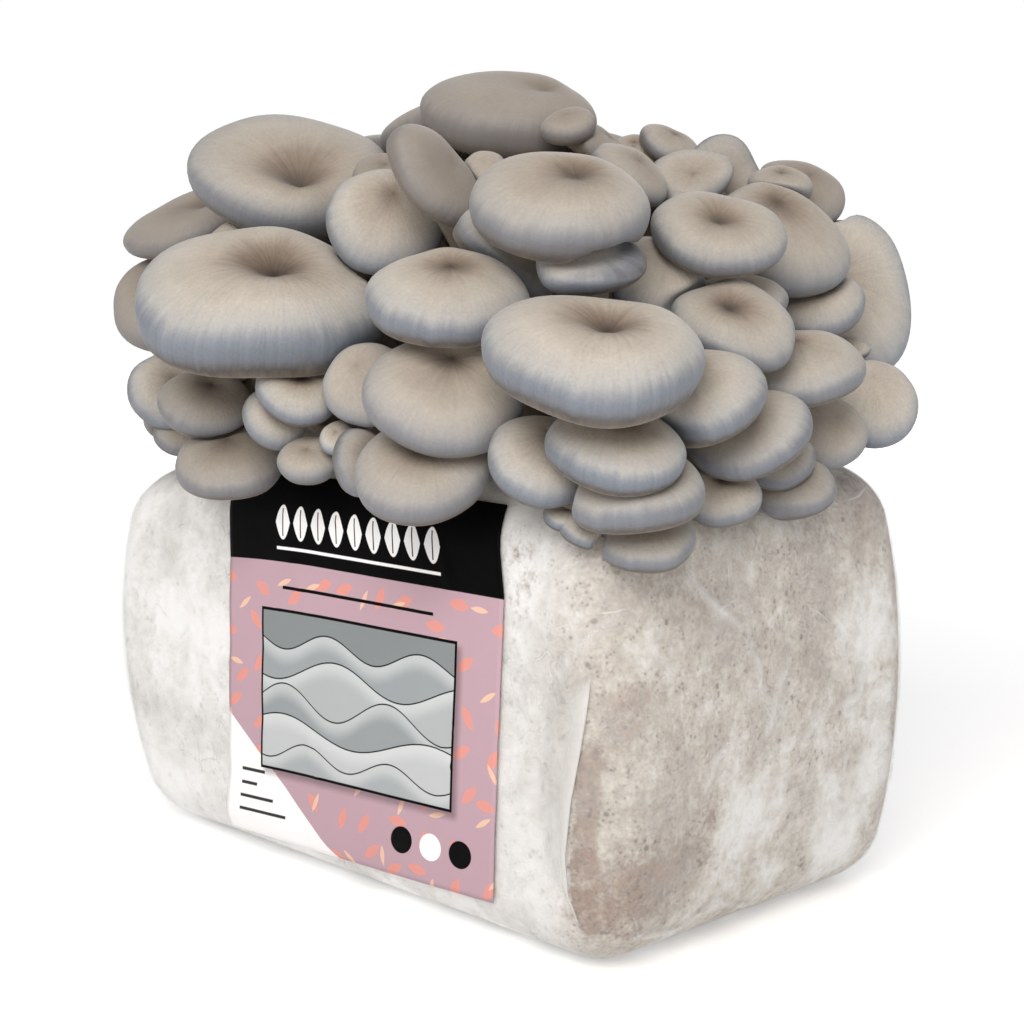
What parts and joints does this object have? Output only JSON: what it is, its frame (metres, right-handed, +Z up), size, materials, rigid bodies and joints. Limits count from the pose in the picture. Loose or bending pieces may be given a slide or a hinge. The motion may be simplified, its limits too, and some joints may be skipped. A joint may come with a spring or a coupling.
{
  "type": "mushroom grow kit",
  "caption": "Bagged rectangular growing block with a front label and a crowded domed cluster of round-capped mushrooms growing out of its top.",
  "frame": {"origin": "middle of the flat underside of the bag", "axes": "+Z up, the label faces -Y, the block's long side runs along X"},
  "size_m": [0.2744, 0.2214, 0.2457],
  "materials": {
    "film": "wrinkled translucent film",
    "substrate": "matt, colonised sawdust",
    "label_print": "satin print",
    "stem": "matt, fibrous",
    "cap": "matt, soft sheen"
  },
  "bodies": {
    "root": {"bag": "film", "block": "substrate", "label": "label_print", "stems_left": "stem", "stems_middle": "stem", "stems_right": "stem", "cap_01": "cap", "cap_02": "cap", "cap_03": "cap", "cap_04": "cap", "cap_05": "cap", "cap_06": "cap", "cap_07": "cap", "cap_08": "cap", "cap_09": "cap", "cap_10": "cap", "cap_11": "cap", "cap_12": "cap", "cap_13": "cap", "cap_14": "cap", "cap_15": "cap", "cap_16": "cap", "cap_17": "cap", "cap_18": "cap", "cap_19": "cap", "cap_20": "cap", "cap_21": "cap", "cap_22": "cap", "cap_23": "cap", "cap_24": "cap", "cap_25": "cap", "cap_26": "cap", "cap_27": "cap", "cap_28": "cap", "cap_29": "cap", "cap_30": "cap", "cap_31": "cap", "cap_32": "cap", "cap_33": "cap", "cap_34": "cap", "cap_35": "cap", "cap_36": "cap", "cap_37": "cap", "cap_38": "cap", "cap_39": "cap", "cap_40": "cap", "cap_41": "cap", "cap_42": "cap", "cap_43": "cap", "cap_44": "cap", "cap_45": "cap", "cap_46": "cap", "cap_47": "cap", "cap_48": "cap", "cap_49": "cap", "cap_50": "cap", "cap_51": "cap", "cap_52": "cap", "cap_53": "cap", "cap_54": "cap"}
  },
  "joints": []
}
